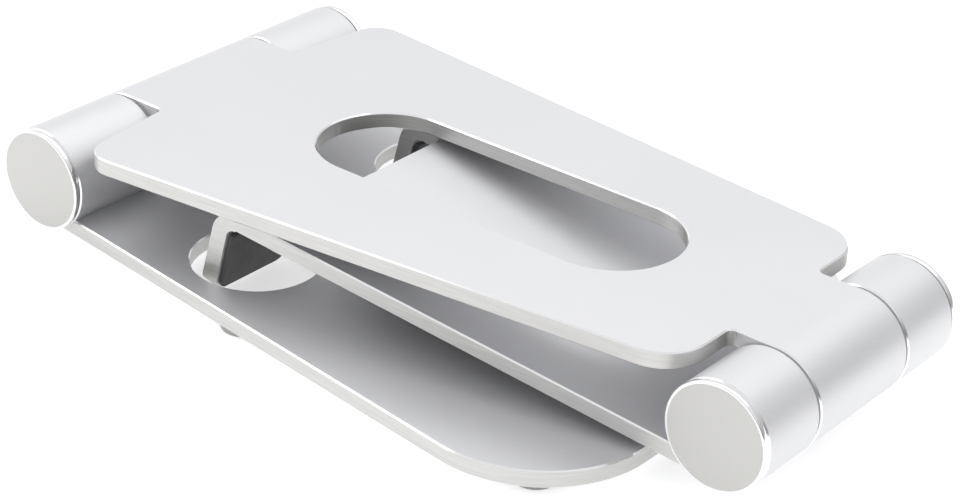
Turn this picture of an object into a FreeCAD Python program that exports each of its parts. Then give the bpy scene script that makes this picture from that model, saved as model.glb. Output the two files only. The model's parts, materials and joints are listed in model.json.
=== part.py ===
import FreeCAD, Part
import math
import os

os.makedirs("parts", exist_ok=True)
V = FreeCAD.Vector

# Folding laptop stand: base, arm and tray, hinged at two barrels that lie along Y.
# Left is -Y. Lengths are in millimetres and angles in degrees.

# Plates and barrels
plate = 5.0                  # thickness of all three plates
barrel_radius = 15.0
hinge_spacing = 222.0        # between the two hinge axes, along the arm
arm_angle = 1.2              # the folded arm rises this much from the base hinge
lower_barrel = 125.0         # overall, end caps included
upper_barrel = 89.0
lower_tongue = 55.6          # middle knuckle of the arm at the base hinge
upper_tongue = 39.8          # middle knuckle of the arm at the tray hinge
knuckle_gap = 0.9
edge_break = 0.4
notch_fillet = 2.0
knuckle_room = 2.0           # from a plate to the tongue that turns beside it

# Arm
arm_overhang = 1.9           # half width at the base hinge axis, beyond the end of the barrel
arm_root_room = 2.4          # from the wide part to the base's knuckles
arm_end_room = 1.9           # from the wide part to the tray's knuckles
arm_root_corner = 9.0
arm_end_corner = 13.0
slot_root_margin = 42.3      # from the start of the wide part to the slot
slot_end_margin = 31.9       # from the slot to the end of the wide part
slot_width = 40.2

# Base
base_side_step = 0.23        # half width beside the barrel, short of the end of the knuckle
base_wall = 7.75             # from a hook hole to the side of the base
base_end_gap = 7.0           # from the free end to the folded tray barrel
base_corner = 35.0
hook_hole_side = 4.2         # from a hook's side to the rim of its round hole
hook_hole_ahead = 2.0        # from the hook's outer face to the middle of the hole
foot_radius = 6.5
foot_height = 2.0            # how far a foot stands out
foot_pocket = 0.5
foot_play = 0.1
foot_inset = 7.2             # from the edge of the base to the middle of a rear foot
foot_wall = 0.8              # from a rear foot to the rim of the hook hole
front_foot_inset = 8.3
front_foot_angle = 52.0      # round the corner, from the free end towards the side

# Tray
tray_side_step = 0.8         # half width at the hinge axis, short of the end of the knuckle
tray_taper = 0.072
tray_arm_gap = 1.0           # from the back of the folded tray to the arm, by the hooks
hook_stand_off = 60.8        # base hinge axis to the outside of the bends, along the arm
recess_depth = 15.7          # how far the edge between the hooks is set back
hook_inner_y = 24.6
hook_lean = 7.5              # how far a hook opens from square to the tray
hook_floor_gap = 1.2         # from the ends of the folded hooks to the ground
bend_radius = 8.0            # outside of the bend
hook_outer_corner = 3.0
hook_inner_corner = 6.0
pad_thickness = 1.5
pad_inset = 1.0
strip_thickness = 1.0
strip_start = 36.0
strip_end_margin = 21.5      # from a strip to the level of the edge between the hooks
strip_width = 16.0
strip_y = 26.0

# Hinge hardware
axle_radius = 5.0
fixed_play = 0.02            # a part held still in its hole
running_play = 0.05          # a part that turns on another
side_play = 0.1              # end play beside a washer
bush_wall = 2.0
pocket_play = 1.0            # round the widest part in the pocket
pocket_end_play = 0.6        # from the bolt's end to the end cap
washer_thickness = 1.2
washer_radius = 10.0
friction_inset = 1.6         # from the rim of a friction washer to the barrel's surface
head_radius = 9.0
head_height = 6.0
head_socket = 8.0
nut_width = 17.0
nut_height = 6.0
spring_thickness = 1.0
spring_cone = 0.3
spring_radius = 9.5
bolt_beyond_nut = 0.3
cap_thickness = 1.65
cap_groove = 0.35
cap_groove_depth = 0.8
cap_spigot = 1.2
cap_bevel = 0.3
grub_radius = 2.5
grub_recess = 3.0            # how far the grub screw stops inside the barrel's surface
grub_socket = 2.5
grub_socket_depth = 3.0

# Sizes and places that follow
plate_inside = barrel_radius - plate
lower_side = lower_barrel / 2 - cap_thickness - cap_groove
upper_side = upper_barrel / 2 - cap_thickness - cap_groove
lower_inner = lower_tongue / 2 + knuckle_gap
upper_inner = upper_tongue / 2 + knuckle_gap
rise = hinge_spacing * math.sin(math.radians(arm_angle))
run = hinge_spacing * math.cos(math.radians(arm_angle))
lower_axis = V(-run / 2, 0, foot_height + barrel_radius)
upper_axis = lower_axis + V(run, 0, rise)

nut_corner = nut_width / 2 / math.cos(math.radians(30))
bush_radius = axle_radius + bush_wall
pocket_radius = max(washer_radius, nut_corner) + pocket_play
spring_stack = 2 * (spring_thickness + spring_cone)
pocket_depth = (side_play + washer_thickness + spring_stack + nut_height + bolt_beyond_nut
                + pocket_end_play + cap_spigot)
friction_radius = barrel_radius - friction_inset
grub_length = barrel_radius - axle_radius - fixed_play - grub_recess

# A plate's inside face meets the circle that clears a barrel this far from the axis.
arm_start = math.sqrt((barrel_radius + arm_root_room) ** 2 - plate_inside ** 2)
arm_end_gap = math.sqrt((barrel_radius + arm_end_room) ** 2 - plate_inside ** 2)
arm_half_root = lower_barrel / 2 + arm_overhang
# The arm narrows until it is level with the ends of the tray's knuckles.
arm_taper = (arm_half_root - upper_side) / (hinge_spacing - arm_end_gap)
slot_start = arm_start + slot_root_margin
slot_end = hinge_spacing - arm_end_gap - slot_end_margin

tray_half_root = upper_side - tray_side_step
hook_reach = hinge_spacing - hook_stand_off
recess_reach = hook_reach - recess_depth
strip_length = recess_reach - strip_start - strip_end_margin
# The folded tray rises back towards the base hinge until its back nears the arm.
back_reach = hook_reach - bend_radius
back_lean = (math.asin((plate_inside - tray_arm_gap) / math.hypot(back_reach, plate_inside))
             + math.atan2(plate_inside, back_reach))
tray_angle = math.degrees(back_lean) - arm_angle
# The straight part of a hook starts where its bend ends.
lean = math.radians(hook_lean)
hook_start_x = -back_reach - bend_radius * math.cos(lean)
hook_start_z = -plate_inside - bend_radius * (1 - math.sin(lean))
# It is as long as leaves its end just off the ground.
tilt = math.radians(tray_angle)
hook_start_level = (rise + barrel_radius + foot_height - hook_start_x * math.sin(tilt)
                    + hook_start_z * math.cos(tilt))
hook_drop = hook_start_level - plate * math.sin(lean + tilt) - hook_floor_gap
hook_length = hook_drop / math.cos(lean + tilt)

base_half_rim = lower_side - base_side_step
base_length = hinge_spacing - barrel_radius - base_end_gap
hook_half_width = (tray_half_root + tray_taper * hook_reach - hook_inner_y) / 2
hook_hole_radius = hook_half_width + hook_hole_side
hook_hole_x = hook_stand_off + hook_hole_ahead
hook_hole_y = hook_inner_y + hook_half_width
# Past its barrel, the base widens until it leaves the wall beside the hook holes.
base_half_hole = hook_hole_y + hook_hole_radius + base_wall
base_taper = (base_half_hole - base_half_rim) / (hook_hole_x - barrel_radius)


def rounded_face(corners):
    """Flat face in XY. Each corner is (x, y, radius), and radius 0 keeps it sharp."""
    count = len(corners)
    spans = []
    for i, (x, y, radius) in enumerate(corners):
        here = V(x, y, 0)
        before = V(*corners[i - 1][:2], 0)
        after = V(*corners[(i + 1) % count][:2], 0)
        if radius == 0:
            spans.append((here, None, here))
            continue
        back = (before - here).normalize()
        ahead = (after - here).normalize()
        half = back.getAngle(ahead) / 2
        reach = radius / math.tan(half)
        bisector = (back + ahead).normalize()
        middle = here + bisector * (radius / math.sin(half) - radius)
        spans.append((here + back * reach, middle, here + ahead * reach))
    edges = []
    for i, (start, middle, end) in enumerate(spans):
        if middle is not None:
            edges.append(Part.Arc(start, middle, end).toShape())
        following = spans[(i + 1) % count][0]
        if end.distanceToPoint(following) > 1e-6:
            edges.append(Part.LineSegment(end, following).toShape())
    return Part.Face(Part.Wire(edges))


def mirrored(half_outline):
    """Close an outline that runs from the left side, by its mirror image over y = 0."""
    return half_outline + [(x, -y, radius) for x, y, radius in reversed(half_outline)]


def slab(corners, bottom, top):
    face = rounded_face(corners)
    face.translate(V(0, 0, bottom))
    return face.extrude(V(0, 0, top - bottom))


def along_y(radius, start, end):
    return Part.makeCylinder(radius, end - start, V(0, start, 0), V(0, 1, 0))


def ring(outer, inner, start, end):
    return along_y(outer, start, end).cut(along_y(inner, start - 1, end + 1))


def break_edges(solid, size, pick):
    return solid.makeChamfer(size, [edge for edge in solid.Edges if pick(edge)])


def outline_edges(solid, bottom, top, joint_x):
    """Top and bottom edges of a plate, without the end that merges with its barrel."""
    def pick(edge):
        box = edge.BoundBox
        flat = box.ZLength < 1e-6 and (abs(box.ZMin - bottom) < 1e-6 or abs(box.ZMin - top) < 1e-6)
        at_joint = abs(box.XMin - joint_x) < 1e-6 and abs(box.XMax - joint_x) < 1e-6
        return flat and not at_joint
    return pick


def knuckle(start, end):
    """One barrel section with both rims broken."""
    body = along_y(barrel_radius, start, end)
    return break_edges(body, edge_break, lambda edge: edge.BoundBox.YLength < 1e-6)


def hexagon(width, start, end):
    """Hexagonal bar along Y, measured across its flats."""
    corner = width / 2 / math.cos(math.radians(30))
    points = [V(corner * math.cos(a), start, corner * math.sin(a))
              for a in (math.radians(60 * i) for i in range(7))]
    return Part.Face(Part.makePolygon(points)).extrude(V(0, end - start, 0))


def outer_knuckles(inner, outer):
    """Both outer knuckles of a hinge, still without their bores."""
    right = knuckle(inner, outer)
    left = right.mirror(V(0, 0, 0), V(0, 1, 0))
    return [left, right]


def bore_outer_knuckles(solid, inner, outer):
    for side in (-1, 1):
        floor = outer - pocket_depth
        through = along_y(bush_radius + fixed_play, inner - 1, floor + 1)
        pocket = along_y(pocket_radius, floor, outer + 1)
        for cut in (through, pocket):
            if side < 0:
                cut = cut.mirror(V(0, 0, 0), V(0, 1, 0))
            solid = solid.cut(cut)
    return solid


def grub_hole(x):
    return Part.makeCylinder(grub_radius + fixed_play, barrel_radius + 1, V(x, 0, 0), V(0, 0, -1))


def make_arm():
    """The arm lies along +X from the base hinge axis, its top level with the barrels' tops."""
    end_x = hinge_spacing - arm_end_gap
    tongue = lower_tongue / 2
    # The wide part starts square to its own tapered side.
    corner_y = (arm_half_root - arm_taper * arm_start + arm_taper ** 2 * tongue) / (1 + arm_taper ** 2)
    corner_x = arm_start + arm_taper * (corner_y - tongue)
    half = [(0, -tongue, 0),
            (arm_start, -tongue, notch_fillet),
            (corner_x, -corner_y, arm_root_corner),
            (end_x, -(arm_half_root - arm_taper * end_x), arm_end_corner),
            (end_x, -upper_tongue / 2, notch_fillet),
            (hinge_spacing, -upper_tongue / 2, 0)]
    body = slab(mirrored(half), plate_inside, barrel_radius)
    radius = slot_width / 2
    slot = slab([(slot_start, -radius, radius - 1e-3), (slot_end, -radius, radius - 1e-3),
                 (slot_end, radius, radius - 1e-3), (slot_start, radius, radius - 1e-3)],
                plate_inside - 1, barrel_radius + 1)
    body = body.cut(slot)
    rim = outline_edges(body, plate_inside, barrel_radius, 0)
    tip = outline_edges(body, plate_inside, barrel_radius, hinge_spacing)
    body = break_edges(body, edge_break, lambda edge: rim(edge) and tip(edge))
    for x, width in ((0, lower_tongue), (hinge_spacing, upper_tongue)):
        barrel = knuckle(-width / 2, width / 2)
        barrel.translate(V(x, 0, 0))
        body = body.fuse(barrel)
    for x in (0, hinge_spacing):
        bore = along_y(axle_radius + fixed_play, -lower_barrel, lower_barrel)
        bore.translate(V(x, 0, 0))
        body = body.cut(bore).cut(grub_hole(x))
    return body.removeSplitter()


def base_half_width(x):
    return base_half_rim + base_taper * (x - barrel_radius)


def rear_foot_x():
    """A rear foot follows the side of the base and stands just clear of the hook hole."""
    beside = base_half_width(hook_hole_x) - foot_inset - hook_hole_y
    clear = hook_hole_radius + foot_wall + foot_radius
    slope = 1 + base_taper ** 2
    ahead = math.sqrt(max(slope * clear ** 2 - beside ** 2, 0)) - base_taper * beside
    return hook_hole_x + ahead / slope


def foot_places():
    """Middles of the four feet: two beside the hook holes, two inside the round corners."""
    corner_x = base_length - base_corner
    # The corner's own circle touches the free end and the tapered side.
    corner_y = base_half_width(corner_x) - base_corner * math.hypot(1, base_taper)
    reach = base_corner - front_foot_inset
    turn = math.radians(front_foot_angle)
    front_x = corner_x + reach * math.cos(turn)
    front_y = corner_y + reach * math.sin(turn)
    rear_x = rear_foot_x()
    rear_y = base_half_width(rear_x) - foot_inset
    return {"rear_left": (rear_x, -rear_y), "rear_right": (rear_x, rear_y),
            "front_left": (front_x, -front_y), "front_right": (front_x, front_y)}


def make_base():
    """The base lies along +X from its hinge axis, its underside level with the barrel's."""
    notch_x = barrel_radius + knuckle_room
    half = [(base_length, -base_half_width(base_length), base_corner),
            (0, -base_half_width(0), 0),
            (0, -lower_inner, 0),
            (notch_x, -lower_inner, notch_fillet)]
    corners = [(x, -y, radius) for x, y, radius in reversed(half)]
    body = slab(half + corners, -barrel_radius, -plate_inside)
    for side in (-1, 1):
        body = body.cut(Part.makeCylinder(hook_hole_radius, plate + 2,
                                          V(hook_hole_x, side * hook_hole_y, -barrel_radius - 1)))
    body = break_edges(body, edge_break, outline_edges(body, -barrel_radius, -plate_inside, 0))
    for part in outer_knuckles(lower_inner, lower_side):
        body = body.fuse(part)
    body = bore_outer_knuckles(body, lower_inner, lower_side)
    for x, y in foot_places().values():
        body = body.cut(Part.makeCylinder(foot_radius + foot_play, foot_pocket,
                                          V(x, y, -barrel_radius)))
    return body.removeSplitter()


def make_foot(place):
    body = Part.makeCylinder(foot_radius, foot_height + foot_pocket,
                             V(place[0], place[1], -barrel_radius - foot_height))
    low = -barrel_radius - foot_height
    return body.makeFillet(foot_height / 3, [edge for edge in body.Edges
                                             if abs(edge.BoundBox.ZMax - low) < 1e-6])


def tray_half_width(reach):
    return tray_half_root + tray_taper * reach


def along_hook(depth, inward):
    """Point in the middle plane, so far down a hook and so far in from its outer face."""
    return V(hook_start_x - depth * math.sin(lean) + inward * math.cos(lean), 0,
             hook_start_z - depth * math.cos(lean) - inward * math.sin(lean))


def hook_section():
    """Section through a hook in XZ: the bend under the tray, then straight down."""
    centre = V(-back_reach, 0, -plate_inside - bend_radius)
    half_turn = (math.pi / 2 - lean) / 2

    def bend(radius):
        start = centre + V(0, 0, radius)
        middle = centre + V(-math.sin(half_turn), 0, math.cos(half_turn)) * radius
        end = centre + V(-math.cos(lean), 0, math.sin(lean)) * radius
        return Part.Arc(start, middle, end).toShape()

    corners = [along_hook(0, 0), along_hook(hook_length, 0), along_hook(hook_length, plate),
               along_hook(0, plate)]
    sides = [Part.LineSegment(start, end).toShape() for start, end in zip(corners, corners[1:])]
    top = Part.LineSegment(centre + V(0, 0, bend_radius),
                           centre + V(0, 0, bend_radius - plate)).toShape()
    edges = sides + [bend(bend_radius), bend(bend_radius - plate), top]
    return Part.Face(Part.Wire(Part.sortEdges(edges)[0]))


def hook_block(start, start_radius, inset, low, high):
    """The left hook's outline, square to its face, as a block between two depths into it."""
    end = hook_length - inset
    near = tray_half_width(-along_hook(start, low).x) - inset
    far = tray_half_width(-along_hook(end, low).x) - inset
    block = slab([(start, -near, start_radius),
                  (end, -far, hook_outer_corner - inset),
                  (end, -hook_inner_y - inset, hook_inner_corner - inset),
                  (start, -hook_inner_y - inset, start_radius)], low, high)
    # Lengths run down the hook, and heights run inwards from its outer face.
    block.rotate(V(0, 0, 0), V(0, 1, 0), 90 + hook_lean)
    block.translate(along_hook(0, 0))
    return block


def make_hook():
    wide = tray_half_width(hook_reach) + bend_radius
    section = hook_section()
    section.translate(V(0, -wide, 0))
    body = section.extrude(V(0, wide - hook_inner_y, 0))
    far = hook_reach + hook_length
    side = slab([(0, -tray_half_width(0), 0), (0, 0, 0), (-far, 0, 0),
                 (-far, -tray_half_width(far), 0)], -barrel_radius - far, 0)
    # The block reaches back over the whole bend.
    return body.common(side).common(hook_block(-barrel_radius, 0, 0, 0, barrel_radius))


def make_hook_pad():
    """A flat pad on the straight part of the left hook."""
    return hook_block(0, pad_inset, pad_inset, plate, plate + pad_thickness)


def make_tray():
    """The tray lies along -X from its hinge axis, its laptop face level with the barrel's foot."""
    notch_x = -(barrel_radius + knuckle_room)
    end_x = -back_reach
    half = [(notch_x, -upper_inner, notch_fillet),
            (0, -upper_inner, 0),
            (0, -tray_half_width(0), 0),
            (end_x, -tray_half_width(-end_x), 0),
            (end_x, -hook_inner_y, 0),
            (-recess_reach, -hook_inner_y, notch_fillet)]
    body = slab(mirrored(half), -barrel_radius, -plate_inside)
    rim = outline_edges(body, -barrel_radius, -plate_inside, 0)
    tip = outline_edges(body, -barrel_radius, -plate_inside, end_x)
    body = break_edges(body, edge_break, lambda edge: rim(edge) and tip(edge))
    hook = make_hook()
    body = body.fuse(hook).fuse(hook.mirror(V(0, 0, 0), V(0, 1, 0)))
    for part in outer_knuckles(upper_inner, upper_side):
        body = body.fuse(part)
    return bore_outer_knuckles(body, upper_inner, upper_side).removeSplitter()


def make_strip():
    """Thin grip strip on the laptop face, left of the middle."""
    x = -strip_start
    end = strip_width / 2 - 1e-3
    return slab([(x, -strip_y - strip_width / 2, end),
                 (x, -strip_y + strip_width / 2, end),
                 (x - strip_length, -strip_y + strip_width / 2, end),
                 (x - strip_length, -strip_y - strip_width / 2, end)],
                -barrel_radius - strip_thickness, -barrel_radius)


def make_cap(outer):
    """Right-hand end cap. A small groove is left between its rim and the knuckle."""
    spigot = along_y(pocket_radius - fixed_play, outer - cap_spigot, outer + cap_groove)
    neck = along_y(barrel_radius - cap_groove_depth, outer, outer + cap_groove)
    disc = along_y(barrel_radius, outer + cap_groove, outer + cap_groove + cap_thickness)
    disc = break_edges(disc, cap_bevel, lambda edge: edge.BoundBox.YLength < 1e-6)
    return spigot.fuse(neck).fuse(disc).removeSplitter()


def disc_spring(start, flip):
    """One conical spring washer, as a turned section."""
    inner = axle_radius + running_play
    heights = (spring_cone, 0, spring_thickness, spring_thickness + spring_cone)
    total = spring_thickness + spring_cone
    if flip:
        heights = tuple(total - height for height in heights)
    radii = (inner, spring_radius, spring_radius, inner)
    points = [V(radius, start + height, 0) for radius, height in zip(radii, heights)]
    section = Part.Face(Part.makePolygon(points + points[:1]))
    return section.revolve(V(0, 0, 0), V(0, 1, 0), 360)


def hinge_hardware(name, tongue, inner, outer):
    """What turns with the arm at one hinge: the axle bolt and everything clamped on it."""
    floor = outer - pocket_depth
    seat = floor + side_play
    under_head = seat + washer_thickness
    nut_start = under_head + spring_stack
    bolt_end = nut_start + nut_height + bolt_beyond_nut
    head = along_y(head_radius, -under_head - head_height, -under_head)
    head = head.cut(hexagon(head_socket, -under_head - head_height - 1, -under_head - head_height / 3))
    bolt = head.fuse(along_y(axle_radius, -under_head, bolt_end)).removeSplitter()
    washer = ring(washer_radius, axle_radius + running_play, seat, under_head)
    first = disc_spring(under_head, False)
    second = disc_spring(under_head + spring_thickness + spring_cone, True)
    nut = hexagon(nut_width, nut_start, nut_start + nut_height)
    nut = nut.cut(along_y(axle_radius + fixed_play, nut_start - 1, bolt_end + 1))
    slack = (knuckle_gap - 2 * running_play) / 2
    middle = tongue / 2 + knuckle_gap / 2
    friction = ring(friction_radius, axle_radius + running_play, middle - slack, middle + slack)
    grub = Part.makeCylinder(grub_radius, grub_length, V(0, 0, -axle_radius - fixed_play), V(0, 0, -1))
    grub_end = axle_radius + fixed_play + grub_length
    socket = hexagon(grub_socket, grub_end - grub_socket_depth, grub_end + 1)
    socket.rotate(V(0, 0, 0), V(1, 0, 0), -90)
    return {name + "_axle_bolt": bolt,
            name + "_head_washer": washer.mirror(V(0, 0, 0), V(0, 1, 0)),
            name + "_nut_washer": washer,
            name + "_disc_springs": Part.makeCompound([first, second]),
            name + "_lock_nut": nut,
            name + "_friction_washer_left": friction.mirror(V(0, 0, 0), V(0, 1, 0)),
            name + "_friction_washer_right": friction,
            name + "_grub_screw": grub.cut(socket)}


def knuckle_fittings(name, inner, outer):
    """What stays in the outer knuckles of one hinge: a bush and a cap on each side."""
    bush = ring(bush_radius, axle_radius + running_play, inner, outer - pocket_depth)
    cap = make_cap(outer)
    return {name + "_bush_left": bush.mirror(V(0, 0, 0), V(0, 1, 0)),
            name + "_bush_right": bush,
            name + "_end_cap_left": cap.mirror(V(0, 0, 0), V(0, 1, 0)),
            name + "_end_cap_right": cap}


def placed(shape, angle, axis_point):
    """Turn a shape about its hinge axis, nose up, and carry it to its place."""
    shape.rotate(V(0, 0, 0), V(0, 1, 0), -angle)
    shape.translate(axis_point)
    return shape


base_nodes = {"base_plate": make_base()}
for place_name, place in foot_places().items():
    base_nodes["foot_" + place_name] = make_foot(place)
base_nodes.update(knuckle_fittings("lower", lower_inner, lower_side))

arm_nodes = {"arm_plate": make_arm()}
arm_nodes.update(hinge_hardware("lower", lower_tongue, lower_inner, lower_side))
for node, shape in hinge_hardware("upper", upper_tongue, upper_inner, upper_side).items():
    shape.translate(V(hinge_spacing, 0, 0))
    arm_nodes[node] = shape

hook_pad = make_hook_pad()
strip = make_strip()
tray_nodes = {"tray_plate": make_tray(),
              "hook_pad_left": hook_pad,
              "hook_pad_right": hook_pad.mirror(V(0, 0, 0), V(0, 1, 0)),
              "grip_strip_left": strip,
              "grip_strip_right": strip.mirror(V(0, 0, 0), V(0, 1, 0))}
tray_nodes.update(knuckle_fittings("upper", upper_inner, upper_side))

bodies = ((base_nodes, 0, lower_axis), (arm_nodes, arm_angle, lower_axis),
          (tray_nodes, -tray_angle, upper_axis))
for nodes, angle, axis_point in bodies:
    for node, shape in nodes.items():
        placed(shape, angle, axis_point).exportStep("parts/" + node + ".step")
        print(node, "solids", len(shape.Solids), "volume", round(shape.Volume, 1), shape.isValid())
print("base hinge", tuple(lower_axis), "tray hinge", tuple(upper_axis))
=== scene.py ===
import json
import math

import bmesh
import bpy
from mathutils import Matrix, Vector


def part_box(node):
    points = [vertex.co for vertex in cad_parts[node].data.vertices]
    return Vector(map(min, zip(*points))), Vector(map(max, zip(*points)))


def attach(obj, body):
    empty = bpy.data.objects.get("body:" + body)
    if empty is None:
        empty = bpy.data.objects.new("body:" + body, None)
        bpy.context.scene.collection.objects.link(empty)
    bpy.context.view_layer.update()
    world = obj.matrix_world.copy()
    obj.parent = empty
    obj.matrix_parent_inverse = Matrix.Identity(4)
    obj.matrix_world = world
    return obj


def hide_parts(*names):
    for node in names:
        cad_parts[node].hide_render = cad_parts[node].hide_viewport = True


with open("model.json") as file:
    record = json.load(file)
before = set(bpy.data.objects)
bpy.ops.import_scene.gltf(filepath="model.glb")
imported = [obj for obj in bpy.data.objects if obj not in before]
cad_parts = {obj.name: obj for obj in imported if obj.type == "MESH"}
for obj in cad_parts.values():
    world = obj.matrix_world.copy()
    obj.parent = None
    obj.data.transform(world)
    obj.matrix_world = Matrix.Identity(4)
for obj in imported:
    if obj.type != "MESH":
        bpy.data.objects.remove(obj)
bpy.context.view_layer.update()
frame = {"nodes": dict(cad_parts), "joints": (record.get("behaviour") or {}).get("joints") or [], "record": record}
mm = 0.001

# Folding laptop stand, folded nearly shut. Left is -Y, and both hinge axes lie along Y.
hinges = {joint["name"]: Vector(joint["pos_m"]) for joint in frame["joints"]}
baseAxis = hinges["base_hinge"]
trayAxis = hinges["tray_hinge"]
mounts = {mount["name"]: mount for mount in frame["record"]["mounts"]}
laptopFaceOut = Vector(mounts["laptop_rest_left"]["axis"]).normalized()
armAlong = (trayAxis - baseAxis).normalized()
print("frame loaded:", len(frame["nodes"]), "nodes")


# A socket of a material, so that shader sums read as plain sums.
class Wire:
    def __init__(self, paint, socket):
        self.paint = paint
        self.socket = socket

    def maths(self, operation, first, second):
        return self.paint.node("ShaderNodeMath", {"operation": operation}, {0: first, 1: second})

    def __add__(self, other):
        return self.maths("ADD", self, other)

    def __sub__(self, other):
        return self.maths("SUBTRACT", self, other)

    def __rsub__(self, other):
        return self.maths("SUBTRACT", other, self)

    def __mul__(self, other):
        return self.maths("MULTIPLY", self, other)

    __radd__ = __add__


# A shader tree, built node by node.
class Nodes:
    def __init__(self, tree):
        self.tree = tree

    def node(self, kind, settings=None, values=None, output=0):
        made = self.tree.nodes.new(kind)
        for key, value in (settings or {}).items():
            if key == "stops":
                self.setStops(made.color_ramp, value)
            else:
                setattr(made, key, value)
        for key, value in (values or {}).items():
            self.plug(made.inputs[key], value)
        return Wire(self, made.outputs[output])

    def setStops(self, ramp, stops):
        while len(ramp.elements) < len(stops):
            ramp.elements.new(0.5)
        for element, (place, shade) in zip(ramp.elements, stops):
            element.position = place
            element.color = (shade, shade, shade, 1)

    def plug(self, target, value):
        if isinstance(value, Wire):
            self.tree.links.new(value.socket, target)
        else:
            target.default_value = value


# A material with one shader.
class Paint(Nodes):
    def __init__(self, name, **constants):
        self.material = bpy.data.materials.new(name)
        self.material.use_nodes = True
        super().__init__(self.material.node_tree)
        self.shader = self.tree.nodes["Principled BSDF"]
        for socketName, value in constants.items():
            self.feed(socketName.replace("_", " ").title().replace("Ior", "IOR"), value)

    def feed(self, socketName, value):
        self.plug(self.shader.inputs[socketName], value)

    def coordinates(self, scale=(1, 1, 1)):
        place = self.node("ShaderNodeTexCoord", output="Object")
        return self.node("ShaderNodeMapping", None, {"Vector": place, "Scale": scale})

    def noise(self, scale, detail=2.0, roughness=0.5, stretch=(1, 1, 1)):
        values = {"Vector": self.coordinates(stretch), "Scale": scale, "Detail": detail,
                  "Roughness": roughness}
        return self.node("ShaderNodeTexNoise", None, values)

    def blend(self, mask, first, second):
        return self.node("ShaderNodeMix", {"data_type": "RGBA"}, {0: mask, 6: first, 7: second}, 2)

    def ramp(self, value, *stops):
        return self.node("ShaderNodeValToRGB", {"stops": stops}, {"Fac": value})

    def bump(self, height, depth, strength=1.0):
        values = {"Height": height, "Distance": depth, "Strength": strength}
        return self.node("ShaderNodeBump", None, values)


def tone(red, green, blue):
    return (red, green, blue, 1.0)


blastedFinish = {"light": tone(0.80, 0.80, 0.81), "dark": tone(0.735, 0.737, 0.752),
                 "grainPerMetre": 3000, "cloudPerMetre": 22, "grainDepth": 0.022 * mm,
                 "roughness": 0.50, "roughnessSwing": 0.12, "metallic": 0.85}


# Bead-blasted and clear anodised: a fine even grain with a faint cloudiness.
def makeBlasted():
    p = Paint("blastedAluminium", metallic=blastedFinish["metallic"])
    grain = p.noise(blastedFinish["grainPerMetre"], 2.0, 0.65)
    coarse = p.noise(blastedFinish["grainPerMetre"] / 3, 1.0, 0.5)
    cloud = p.noise(blastedFinish["cloudPerMetre"], 3.0, 0.5)
    speck = p.ramp(grain, (0.3, 0.0), (0.7, 1.0))
    mask = speck * 0.55 + cloud * 0.45
    p.feed("Base Color", p.blend(mask, blastedFinish["dark"], blastedFinish["light"]))
    swing = blastedFinish["roughnessSwing"]
    p.feed("Roughness", blastedFinish["roughness"] + (grain - 0.5) * swing + (cloud - 0.5) * swing)
    p.feed("Normal", p.bump(grain * 0.7 + coarse * 0.3, blastedFinish["grainDepth"]))
    return p.material


# Painted shade: the side tones sit well below the blasted tones and stand in for the dimmer light that the sides
# reflect.
paintedShadeSideFinish = {"light": tone(0.66, 0.655, 0.64), "dark": tone(0.57, 0.565, 0.55),
              "streakPerMetre": 2400, "grainPerMetre": 2600, "streakDepth": 0.012 * mm,
              "roughness": 0.42, "roughnessSwing": 0.2}


# The sawn and brushed sides of the plates: fine streaks that follow the edge, over a base colour darkened as
# painted shade.
def makePaintedShadeBrushedSide():
    p = Paint("brushedPaintedShadeSide", metallic=1.0)
    streak = p.noise(paintedShadeSideFinish["streakPerMetre"], 2.0, 0.6, (0.03, 0.03, 1))
    grain = p.noise(paintedShadeSideFinish["grainPerMetre"], 1.0, 0.5)
    mask = p.ramp(streak, (0.32, 0.0), (0.68, 1.0))
    p.feed("Base Color", p.blend(mask, paintedShadeSideFinish["dark"], paintedShadeSideFinish["light"]))
    p.feed("Roughness", paintedShadeSideFinish["roughness"] + (streak - 0.5) * paintedShadeSideFinish["roughnessSwing"])
    p.feed("Normal", p.bump(streak * 0.7 + grain * 0.3, paintedShadeSideFinish["streakDepth"]))
    return p.material


brightFinish = {"light": tone(0.92, 0.92, 0.92), "dark": tone(0.86, 0.86, 0.865),
                "ringsPerMetre": 3500, "hazePerMetre": 60, "ringDepth": 0.004 * mm,
                "roughness": 0.16, "ringSwing": 0.08, "hazeSwing": 0.06}


# Bevels and cap rims, cut bright after the blasting.
def makeBrightCut():
    p = Paint("brightCut", metallic=1.0)
    rings = p.noise(brightFinish["ringsPerMetre"], 2.0, 0.6, (1, 0.05, 1))
    haze = p.noise(brightFinish["hazePerMetre"], 2.0, 0.5)
    p.feed("Base Color", p.blend(haze, brightFinish["dark"], brightFinish["light"]))
    swing = (rings - 0.5) * brightFinish["ringSwing"] + (haze - 0.5) * brightFinish["hazeSwing"]
    p.feed("Roughness", brightFinish["roughness"] + swing)
    p.feed("Normal", p.bump(rings, brightFinish["ringDepth"]))
    return p.material


# Painted shade: the cap tones sit below the blasted plate tones and stand in for the dimmer light on the cap
# faces.
paintedShadeCapFinish = {"light": tone(0.59, 0.585, 0.57), "dark": tone(0.53, 0.525, 0.51),
             "grainPerMetre": 4200, "cloudPerMetre": 90, "grainDepth": 0.010 * mm,
             "roughness": 0.42, "grainSwing": 0.12, "cloudSwing": 0.08}


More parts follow.
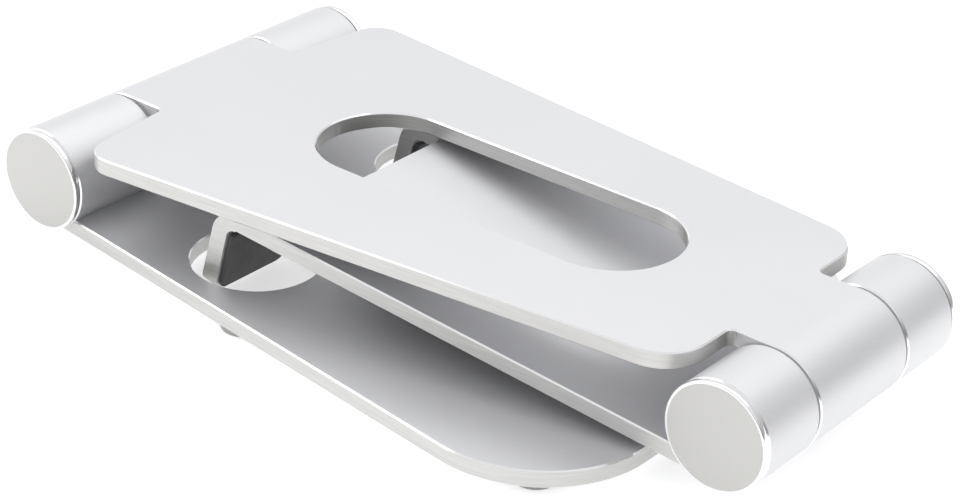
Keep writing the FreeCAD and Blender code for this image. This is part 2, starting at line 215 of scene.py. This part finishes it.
# Cap faces: turned, then blasted finer than the plates, over a base colour darkened as painted shade.
def makePaintedShadeCapFace():
    p = Paint("paintedShadeCapFace", metallic=1.0)
    grain = p.noise(paintedShadeCapFinish["grainPerMetre"], 2.0, 0.6)
    cloud = p.noise(paintedShadeCapFinish["cloudPerMetre"], 3.0, 0.5)
    p.feed("Base Color", p.blend(grain * 0.5 + cloud * 0.5, paintedShadeCapFinish["dark"], paintedShadeCapFinish["light"]))
    swing = (grain - 0.5) * paintedShadeCapFinish["grainSwing"] + (cloud - 0.5) * paintedShadeCapFinish["cloudSwing"]
    p.feed("Roughness", paintedShadeCapFinish["roughness"] + swing)
    p.feed("Normal", p.bump(grain, paintedShadeCapFinish["grainDepth"]))
    return p.material


rubberFinish = {"foot": {"dark": tone(0.30, 0.31, 0.30), "light": tone(0.42, 0.43, 0.42)},
                "pad": {"dark": tone(0.055, 0.056, 0.058), "light": tone(0.10, 0.101, 0.104)},
                "pebblePerMetre": 1700, "dustPerMetre": 140, "pebbleDepth": 0.03 * mm,
                "roughness": 0.55, "roughnessSwing": 0.16, "sheen": 0.35}


# Moulded silicone: soft sheen, dust in the low spots and a fine pebble.
def makeRubber(name, shades):
    p = Paint(name, metallic=0.0, specular_ior_level=rubberFinish["sheen"])
    pebble = p.noise(rubberFinish["pebblePerMetre"], 2.0, 0.55)
    dust = p.noise(rubberFinish["dustPerMetre"], 4.0, 0.6)
    mask = p.ramp(dust, (0.38, 0.0), (0.72, 1.0)) * 0.6 + pebble * 0.4
    p.feed("Base Color", p.blend(mask, shades["dark"], shades["light"]))
    p.feed("Roughness", rubberFinish["roughness"] + (pebble - 0.5) * rubberFinish["roughnessSwing"])
    p.feed("Normal", p.bump(pebble, rubberFinish["pebbleDepth"]))
    return p.material


steelFinish = {"light": tone(0.62, 0.61, 0.60), "dark": tone(0.50, 0.50, 0.51),
               "ringsPerMetre": 2600, "filmPerMetre": 180, "ringDepth": 0.010 * mm,
               "roughness": 0.28, "roughnessSwing": 0.18}


# Turned and zinc plated.
def makeSteel():
    p = Paint("turnedSteel", metallic=1.0)
    rings = p.noise(steelFinish["ringsPerMetre"], 2.0, 0.6, (1, 0.08, 1))
    film = p.noise(steelFinish["filmPerMetre"], 3.0, 0.6)
    p.feed("Base Color", p.blend(film, steelFinish["dark"], steelFinish["light"]))
    p.feed("Roughness", steelFinish["roughness"] + (rings - 0.5) * steelFinish["roughnessSwing"])
    p.feed("Normal", p.bump(rings, steelFinish["ringDepth"]))
    return p.material


acetalFinish = {"light": tone(0.86, 0.86, 0.83), "dark": tone(0.78, 0.78, 0.74),
                "flowPerMetre": 220, "skinPerMetre": 1500, "skinDepth": 0.006 * mm,
                "roughness": 0.42, "roughnessSwing": 0.15}


# Natural white bearing plastic.
def makeAcetal():
    p = Paint("acetal", metallic=0.0)
    flow = p.noise(acetalFinish["flowPerMetre"], 3.0, 0.5)
    skin = p.noise(acetalFinish["skinPerMetre"])
    p.feed("Base Color", p.blend(flow, acetalFinish["dark"], acetalFinish["light"]))
    p.feed("Roughness", acetalFinish["roughness"] + (flow - 0.5) * acetalFinish["roughnessSwing"])
    p.feed("Normal", p.bump(skin, acetalFinish["skinDepth"]))
    return p.material


blasted = makeBlasted()
brushedPaintedShadeSide = makePaintedShadeBrushedSide()
brightCut = makeBrightCut()
paintedShadeCapFace = makePaintedShadeCapFace()
footRubber = makeRubber("footRubber", rubberFinish["foot"])
padRubber = makeRubber("padRubber", rubberFinish["pad"])
steel = makeSteel()
acetal = makeAcetal()
print("materials built")


def addPiece(name, mesh, body, slotName, *nodes):
    piece = bpy.data.objects.new(name, mesh)
    bpy.context.scene.collection.objects.link(piece)
    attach(piece, body)
    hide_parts(*nodes)
    return piece


# A node's solid as one clean closed mesh: corners merged and flat faces joined up.
def cleanCopy(nodeName):
    work = bmesh.new()
    work.from_mesh(frame["nodes"][nodeName].data)
    bmesh.ops.remove_doubles(work, verts=work.verts, dist=0.002 * mm)
    bmesh.ops.dissolve_limit(work, angle_limit=math.radians(0.3), verts=work.verts,
                             edges=work.edges, delimit={"NORMAL"})
    mesh = bpy.data.meshes.new(nodeName + "_fine")
    work.to_mesh(mesh)
    work.free()
    mesh.materials.clear()
    return mesh


# Rounds every sharp edge and bakes the result, with smooth shading across the curves.
def rounded(mesh, width, segments, sharpAngle=25):
    holder = bpy.data.objects.new("holder", mesh)
    bpy.context.scene.collection.objects.link(holder)
    bevel = holder.modifiers.new("edges", "BEVEL")
    bevel.width = width
    bevel.segments = segments
    bevel.limit_method = "ANGLE"
    bevel.angle_limit = math.radians(sharpAngle)
    bevel.use_clamp_overlap = True
    # Wide flat faces keep their own direction, and the bevels turn smoothly between them.
    mesh.polygons.foreach_set("use_smooth", [True] * len(mesh.polygons))
    holder.modifiers.new("normals", "WEIGHTED_NORMAL").weight = 100
    graph = bpy.context.evaluated_depsgraph_get()
    result = bpy.data.meshes.new_from_object(holder.evaluated_get(graph))
    bpy.data.objects.remove(holder)
    return result


def smoothen(mesh, angle=32):
    mesh.polygons.foreach_set("use_smooth", [True] * len(mesh.polygons))
    mesh.set_sharp_from_angle(angle=math.radians(angle))


plateSheets = {"base_plate": {"body": "base", "face": Vector((0, 0, 1))},
               "arm_plate": {"body": "arm", "face": Vector((-armAlong.z, 0, armAlong.x))},
               "tray_plate": {"body": "tray", "face": -laptopFaceOut}}
barrelLook = {"radius": 15.0 * mm, "skin": 0.6 * mm, "slack": 0.05 * mm, "roundEdge": 0.10 * mm}
hookReach = 150.0 * mm    # from the tray hinge to just short of the hooks' bends
# How far a face's direction runs along its plate's, or along Y, for each kind of face.
turnLimits = {"flat": 0.93, "side": 0.4, "bevelLow": 0.3, "bevelHigh": 0.95}
finishes = (blasted, brushedPaintedShadeSide, brightCut)


# Flat faces, barrels and hooks stay blasted, plate sides are brushed over painted shade and bevels are cut bright.
def finishOf(polygon, faceOut, isTray):
    middle = polygon.center
    lean = abs(polygon.normal.dot(faceOut))
    sideways = abs(polygon.normal.y)
    offAxis = min(math.hypot(middle.x - axis.x, middle.z - axis.z) for axis in (baseAxis, trayAxis))
    if offAxis < barrelLook["radius"] + barrelLook["slack"]:
        inSkin = offAxis > barrelLook["radius"] - barrelLook["skin"]
        isBevel = turnLimits["bevelLow"] < sideways < turnLimits["bevelHigh"]
        return brightCut if isBevel and inSkin else blasted
    onHook = isTray and trayAxis.x - middle.x > hookReach and sideways < turnLimits["bevelLow"]
    if lean > turnLimits["flat"] or onHook:
        return blasted
    return brushedPaintedShadeSide if lean < turnLimits["side"] else brightCut


def dressPlate(mesh, faceOut, isTray):
    for material in finishes:
        mesh.materials.append(material)
    for polygon in mesh.polygons:
        polygon.material_index = finishes.index(finishOf(polygon, faceOut, isTray))


def buildPlates():
    for nodeName, sheet in plateSheets.items():
        mesh = rounded(cleanCopy(nodeName), barrelLook["roundEdge"], 2)
        dressPlate(mesh, sheet["face"], sheet["body"] == "tray")
        addPiece(nodeName + "_fine", mesh, sheet["body"], "anodised_aluminium", nodeName)
    print("plates dressed")


# A tree that turns the profile it is given about the Z axis.
def makeLatheTree():
    tree = bpy.data.node_groups.new("turnedPiece", "GeometryNodeTree")
    face = tree.interface
    face.new_socket("Profile", in_out="INPUT", socket_type="NodeSocketGeometry")
    face.new_socket("Path Radius", in_out="INPUT", socket_type="NodeSocketFloat")
    face.new_socket("Segments", in_out="INPUT", socket_type="NodeSocketInt")
    face.new_socket("Finish", in_out="INPUT", socket_type="NodeSocketMaterial")
    face.new_socket("Geometry", in_out="OUTPUT", socket_type="NodeSocketGeometry")
    nodes = tree.nodes
    link = tree.links.new
    given = nodes.new("NodeGroupInput")
    result = nodes.new("NodeGroupOutput")
    outline = nodes.new("GeometryNodeMeshToCurve")
    circle = nodes.new("GeometryNodeCurvePrimitiveCircle")
    sweep = nodes.new("GeometryNodeCurveToMesh")
    weld = nodes.new("GeometryNodeMergeByDistance")
    real = nodes.new("GeometryNodeRealizeInstances")
    finish = nodes.new("GeometryNodeSetMaterial")
    weld.inputs["Distance"].default_value = 0.001 * mm
    link(given.outputs["Profile"], outline.inputs["Mesh"])
    link(given.outputs["Segments"], circle.inputs["Resolution"])
    link(given.outputs["Path Radius"], circle.inputs["Radius"])
    link(circle.outputs["Curve"], sweep.inputs["Curve"])
    link(outline.outputs["Curve"], sweep.inputs["Profile Curve"])
    link(sweep.outputs["Mesh"], weld.inputs["Geometry"])
    link(weld.outputs["Geometry"], real.inputs["Geometry"])
    link(real.outputs["Geometry"], finish.inputs["Geometry"])
    link(given.outputs["Finish"], finish.inputs["Material"])
    link(finish.outputs["Geometry"], result.inputs["Geometry"])
    return tree


# Runs a tree once on a start mesh and gives back its plain result.
def grow(tree, start, sizes):
    holder = bpy.data.objects.new("holder", start)
    bpy.context.scene.collection.objects.link(holder)
    modifier = holder.modifiers.new("tree", "NODES")
    modifier.node_group = tree
    for item in tree.interface.items_tree:
        if item.in_out == "INPUT" and item.name in sizes:
            modifier[item.identifier] = sizes[item.name]
    graph = bpy.context.evaluated_depsgraph_get()
    result = bpy.data.meshes.new_from_object(holder.evaluated_get(graph))
    bpy.data.objects.remove(holder)
    return result


# A profile is a list of (radius, height) in millimetres, from the axis to the axis.
def turned(name, tree, profile, finish, segments=128):
    pathRadius = 10.0 * mm
    start = bpy.data.meshes.new(name)
    places = [(radius * mm - pathRadius, -height * mm, 0) for radius, height in profile]
    start.from_pydata(places, [(i, i + 1) for i in range(len(places) - 1)], [])
    mesh = grow(tree, start, {"Path Radius": pathRadius, "Segments": segments, "Finish": finish})
    work = bmesh.new()
    work.from_mesh(mesh)
    bmesh.ops.recalc_face_normals(work, faces=work.faces)
    work.to_mesh(mesh)
    work.free()
    mesh.name = name
    return mesh


capLook = {"radius": 15.0, "thickness": 1.65, "gap": 0.35, "neck": 14.2, "spigot": 10.98,
           "spigotLength": 1.2, "faceRing": 14.2, "ringWidth": 0.16, "ringDepth": 0.10}


# Heights run inwards from the outer face.
def capProfile():
    r = capLook["radius"]
    back = capLook["thickness"]
    ring = capLook["faceRing"]
    ringEnd = ring + capLook["ringWidth"]
    deep = capLook["ringDepth"]
    seat = back + capLook["gap"]
    end = seat + capLook["spigotLength"]
    return [(0, 0), (ring, 0), (ring + 0.03, deep), (ringEnd - 0.03, deep), (ringEnd, 0),
            (r - 0.34, 0), (r - 0.17, 0.05), (r - 0.05, 0.17), (r, 0.34),
            (r, back - 0.16), (r - 0.05, back - 0.05), (r - 0.16, back),
            (capLook["neck"], back), (capLook["neck"], seat),
            (capLook["spigot"], seat), (capLook["spigot"], end), (0, end)]


def buildCaps(tree):
    barrels = {"lower": ("base", baseAxis), "upper": ("tray", trayAxis)}
    for barrel, (body, axis) in barrels.items():
        for side, outward in (("left", -1), ("right", 1)):
            nodeName = barrel + "_end_cap_" + side
            low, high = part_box(nodeName)
            faceY = low.y if outward < 0 else high.y
            mesh = turned(nodeName + "_fine", tree, capProfile(), paintedShadeCapFace)
            # Heights run along the barrel, from the face inwards.
            turn = Matrix.Rotation(math.radians(-90 if outward < 0 else 90), 4, "X")
            mesh.transform(Matrix.Translation((axis.x, faceY, axis.z)) @ turn)
            mesh.materials.append(brightCut)
            for polygon in mesh.polygons:
                depth = abs(polygon.center.y - faceY)
                reach = math.hypot(polygon.center.x - axis.x, polygon.center.z - axis.z)
                onRim = reach > (capLook["faceRing"] - 0.01) * mm or depth > 0.5 * mm
                polygon.material_index = 1 if onRim else 0
            smoothen(mesh, 40)
            addPiece(nodeName + "_fine", mesh, body, "polished_aluminium", nodeName)
    print("end caps turned")


footLook = {"radius": 6.5, "height": 2.5, "dish": 0.25, "dishRadius": 4.5}


# Heights run upwards from the ground. The foot stands on a ring round a shallow dish.
def footProfile():
    r = footLook["radius"]
    dish = footLook["dish"]
    inner = footLook["dishRadius"]
    return [(0, dish), (inner, dish), (inner + 0.35, dish - 0.05), (inner + 0.7, 0.06),
            (inner + 1.05, 0), (r - 0.6, 0), (r - 0.34, 0.05), (r - 0.14, 0.18), (r - 0.03, 0.42),
            (r, 0.7), (r, footLook["height"]), (0, footLook["height"])]


def buildFeet(tree):
    for place in ("rear_left", "rear_right", "front_left", "front_right"):
        nodeName = "foot_" + place
        low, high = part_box(nodeName)
        mesh = turned(nodeName + "_fine", tree, footProfile(), footRubber, 64)
        mesh.transform(Matrix.Translation(((low.x + high.x) / 2, (low.y + high.y) / 2, low.z)))
        smoothen(mesh, 40)
        addPiece(nodeName + "_fine", mesh, "base", "foot_rubber", nodeName)
    print("feet turned")


padLook = {"roundEdge": 0.42 * mm, "segments": 3}


def buildPads():
    for side in ("left", "right"):
        nodeName = "hook_pad_" + side
        mesh = rounded(cleanCopy(nodeName), padLook["roundEdge"], padLook["segments"])
        mesh.materials.append(padRubber)
        addPiece(nodeName + "_fine", mesh, "tray", "pad_rubber", nodeName)
    print("hook pads rounded")


stripLook = {"length": 88.0 * mm, "width": 16.0 * mm, "sheet": 0.7 * mm, "rib": 0.3 * mm,
             "ribs": 7, "pitch": 1.8 * mm, "endMargin": 8.0 * mm}


# A tree for one grip strip: a flat stadium with round ribs along it, rising along +Z.
def makeStripTree():
    tree = bpy.data.node_groups.new("ribbedStrip", "GeometryNodeTree")
    face = tree.interface
    for sizeName in ("Length", "Width", "Sheet", "Rib", "Pitch", "End Margin"):
        face.new_socket(sizeName, in_out="INPUT", socket_type="NodeSocketFloat")
    face.new_socket("Ribs", in_out="INPUT", socket_type="NodeSocketInt")
    face.new_socket("Finish", in_out="INPUT", socket_type="NodeSocketMaterial")
    face.new_socket("Geometry", in_out="OUTPUT", socket_type="NodeSocketGeometry")
    nodes = tree.nodes
    link = tree.links.new

    def add(kind, **settings):
        made = nodes.new(kind)
        for key, value in settings.items():
            setattr(made, key, value)
        return made

    def sum2(operation, first, second):
        made = add("ShaderNodeMath", operation=operation)
        for socket, value in zip(made.inputs, (first, second)):
            if isinstance(value, (int, float)):
                socket.default_value = value
            else:
                link(value, socket)
        return made.outputs[0]

    given = add("NodeGroupInput").outputs
    result = add("NodeGroupOutput")
    outline = add("GeometryNodeCurvePrimitiveQuadrilateral")
    link(given["Length"], outline.inputs["Width"])
    link(given["Width"], outline.inputs["Height"])
    corners = add("GeometryNodeFilletCurve", mode="POLY")
    corners.inputs["Count"].default_value = 14
    link(outline.outputs["Curve"], corners.inputs["Curve"])
    link(sum2("MULTIPLY", given["Width"], 0.499), corners.inputs["Radius"])
    filled = add("GeometryNodeFillCurve", mode="NGONS")
    link(corners.outputs["Curve"], filled.inputs["Curve"])
    raised = add("GeometryNodeExtrudeMesh", mode="FACES")
    raised.inputs["Individual"].default_value = False
    link(filled.outputs["Mesh"], raised.inputs["Mesh"])
    link(given["Sheet"], raised.inputs["Offset Scale"])
    under = add("GeometryNodeFlipFaces")
    link(filled.outputs["Mesh"], under.inputs["Mesh"])
    slab = add("GeometryNodeJoinGeometry")
    link(raised.outputs["Mesh"], slab.inputs["Geometry"])
    link(under.outputs["Mesh"], slab.inputs["Geometry"])
    weld = add("GeometryNodeMergeByDistance")
    weld.inputs["Distance"].default_value = 0.001 * mm
    link(slab.outputs["Geometry"], weld.inputs["Geometry"])
    # One rib, then a row of them across the strip.
    half = sum2("SUBTRACT", sum2("MULTIPLY", given["Length"], 0.5), given["End Margin"])
    back = sum2("MULTIPLY", half, -1)
    start = add("ShaderNodeCombineXYZ")
    link(back, start.inputs["X"])
    end = add("ShaderNodeCombineXYZ")
    link(half, end.inputs["X"])
    line = add("GeometryNodeCurvePrimitiveLine")
    link(start.outputs[0], line.inputs["Start"])
    link(end.outputs[0], line.inputs["End"])
    section = add("GeometryNodeCurvePrimitiveCircle")
    section.inputs["Resolution"].default_value = 16
    link(given["Rib"], section.inputs["Radius"])
    rib = add("GeometryNodeCurveToMesh")
    rib.inputs["Fill Caps"].default_value = True
    link(line.outputs["Curve"], rib.inputs["Curve"])
    link(section.outputs["Curve"], rib.inputs["Profile Curve"])
    row = add("GeometryNodeMeshLine", mode="OFFSET", count_mode="TOTAL")
    link(given["Ribs"], row.inputs["Count"])
    firstY = sum2("MULTIPLY", sum2("MULTIPLY", sum2("SUBTRACT", given["Ribs"], 1), 0.5), given["Pitch"])
    first = add("ShaderNodeCombineXYZ")
    link(sum2("MULTIPLY", firstY, -1), first.inputs["Y"])
    link(given["Sheet"], first.inputs["Z"])
    step = add("ShaderNodeCombineXYZ")
    link(given["Pitch"], step.inputs["Y"])
    link(first.outputs[0], row.inputs["Start Location"])
    link(step.outputs[0], row.inputs["Offset"])
    ribs = add("GeometryNodeInstanceOnPoints")
    link(row.outputs["Mesh"], ribs.inputs["Points"])
    link(rib.outputs["Mesh"], ribs.inputs["Instance"])
    whole = add("GeometryNodeJoinGeometry")
    link(weld.outputs["Geometry"], whole.inputs["Geometry"])
    link(ribs.outputs["Instances"], whole.inputs["Geometry"])
    real = add("GeometryNodeRealizeInstances")
    link(whole.outputs["Geometry"], real.inputs["Geometry"])
    finish = add("GeometryNodeSetMaterial")
    link(real.outputs["Geometry"], finish.inputs["Geometry"])
    link(given["Finish"], finish.inputs["Material"])
    link(finish.outputs["Geometry"], result.inputs["Geometry"])
    return tree


def buildStrips():
    tree = makeStripTree()
    sizes = {"Length": stripLook["length"], "Width": stripLook["width"], "Sheet": stripLook["sheet"],
             "Rib": stripLook["rib"], "Ribs": stripLook["ribs"], "Pitch": stripLook["pitch"],
             "End Margin": stripLook["endMargin"], "Finish": padRubber}
    across = Vector((0, 1, 0))
    along = across.cross(laptopFaceOut)
    turn = Matrix((along, across, laptopFaceOut)).transposed().to_4x4()
    for side in ("left", "right"):
        nodeName = "grip_strip_" + side
        top = Vector(mounts["laptop_rest_" + side]["pos_m"])
        foot = top - laptopFaceOut * (stripLook["sheet"] + stripLook["rib"])
        mesh = grow(tree, bpy.data.meshes.new(nodeName + "_fine"), sizes)
        mesh.transform(Matrix.Translation(foot) @ turn)
        smoothen(mesh)
        addPiece(nodeName + "_fine", mesh, "tray", "pad_rubber", nodeName)
    print("grip strips ribbed")


def dressHardware():
    shown = ("base_plate", "arm_plate", "tray_plate")
    for nodeName, node in frame["nodes"].items():
        if nodeName in shown or node.hide_render:
            continue
        plastic = "bush" in nodeName or "friction_washer" in nodeName
        node.data.materials.clear()
        node.data.materials.append(acetal if plastic else steel)
    print("hinge hardware dressed")


buildPlates()
latheTree = makeLatheTree()
buildCaps(latheTree)
buildFeet(latheTree)
buildPads()
buildStrips()
dressHardware()

floorLook = {"half": 3.0, "shade": 0.80, "mottle": 0.02, "mottlePerMetre": 3,
             "roughness": 0.6, "sheen": 0.2, "glow": 0.50}


# A plain white table top, level with the undersides of the feet.
def buildFloor():
    half = floorLook["half"]
    mesh = bpy.data.meshes.new("floor")
    mesh.from_pydata([(-half, -half, 0), (half, -half, 0), (half, half, 0), (-half, half, 0)],
                     [], [(0, 1, 2, 3)])
    p = Paint("whiteTable", roughness=floorLook["roughness"], specular_ior_level=floorLook["sheen"],
              emission_color=tone(1, 1, 1), emission_strength=floorLook["glow"])
    mottle = p.noise(floorLook["mottlePerMetre"], 2.0, 0.5)
    dark = floorLook["shade"]
    light = dark + floorLook["mottle"]
    p.feed("Base Color", p.blend(mottle, tone(dark, dark, dark), tone(light, light, light)))
    mesh.materials.append(p.material)
    floor = bpy.data.objects.new("floor", mesh)
    bpy.context.scene.collection.objects.link(floor)


lampLook = {"top": {"place": (-0.1, 0.35, 1.1), "aim": (0, 0, 0),
                    "size": (1.6, 1.2), "power": 4},
            "left": {"place": (-1.1, -0.7, 0.7), "aim": (-0.05, 0, 0.02),
                     "size": (0.8, 1.0), "power": 2.8}}
# The white room round the table: bright overhead and on the left, dim on the right.
roomLook = {"level": 0.62, "toRight": -0.42, "toBack": 0.10, "overhead": 0.87,
            "wallTop": 0.05, "ceiling": 0.75, "cool": tone(0.985, 0.99, 1.0)}


def buildLamps():
    for name, look in lampLook.items():
        lamp = bpy.data.lights.new(name, "AREA")
        lamp.shape = "RECTANGLE"
        lamp.size, lamp.size_y = look["size"]
        lamp.energy = look["power"]
        holder = bpy.data.objects.new(name, lamp)
        place = Vector(look["place"])
        aim = (Vector(look["aim"]) - place).to_track_quat("-Z", "Y")
        holder.matrix_world = Matrix.Translation(place) @ aim.to_matrix().to_4x4()
        bpy.context.scene.collection.objects.link(holder)


def buildRoom():
    world = bpy.data.worlds.new("studio")
    world.use_nodes = True
    room = Nodes(world.node_tree)
    outward = room.node("ShaderNodeTexCoord", output="Generated")
    split = room.node("ShaderNodeSeparateXYZ", None, {"Vector": outward})
    right, back, up = [Wire(room, split.socket.node.outputs[axis]) for axis in "XYZ"]
    wall = roomLook["level"] + right * roomLook["toRight"] + back * roomLook["toBack"]
    height = room.node("ShaderNodeMapRange", {"interpolation_type": "SMOOTHSTEP"},
                       {"Value": up, "From Min": roomLook["wallTop"], "From Max": roomLook["ceiling"]})
    light = wall + height * (roomLook["overhead"] - wall)
    background = world.node_tree.nodes["Background"]
    background.inputs["Color"].default_value = roomLook["cool"]
    room.plug(background.inputs["Strength"], light)
    bpy.context.scene.world = world
    bpy.context.scene.view_settings.view_transform = "Standard"


cameraLook = {"azimuth": 38.27, "elevation": 29.10, "roll": 2.97, "distance": 0.7807,
              "right": 0.0857, "up": -0.0417, "lens": 96.97, "sensor": 36.0}


# The view is set from the middle of the base hinge.
def buildCamera():
    azimuth = math.radians(cameraLook["azimuth"])
    elevation = math.radians(cameraLook["elevation"])
    roll = math.radians(cameraLook["roll"])
    back = Vector((math.sin(azimuth) * math.cos(elevation),
                   -math.cos(azimuth) * math.cos(elevation), math.sin(elevation)))
    level = Vector((math.cos(azimuth), math.sin(azimuth), 0))
    upright = back.cross(level)
    right = level * math.cos(roll) + upright * math.sin(roll)
    up = upright * math.cos(roll) - level * math.sin(roll)
    place = baseAxis + back * cameraLook["distance"] + right * cameraLook["right"] + up * cameraLook["up"]
    lens = bpy.data.cameras.new("camera")
    lens.lens = cameraLook["lens"]
    lens.sensor_width = cameraLook["sensor"]
    lens.sensor_fit = "HORIZONTAL"
    lens.clip_start = 0.05
    camera = bpy.data.objects.new("camera", lens)
    turn = Matrix((right, up, back)).transposed().to_4x4()
    camera.matrix_world = Matrix.Translation(place) @ turn
    bpy.context.scene.collection.objects.link(camera)
    bpy.context.scene.camera = camera


buildFloor()
buildLamps()
buildRoom()
buildCamera()
print("stage, lamps and camera set")
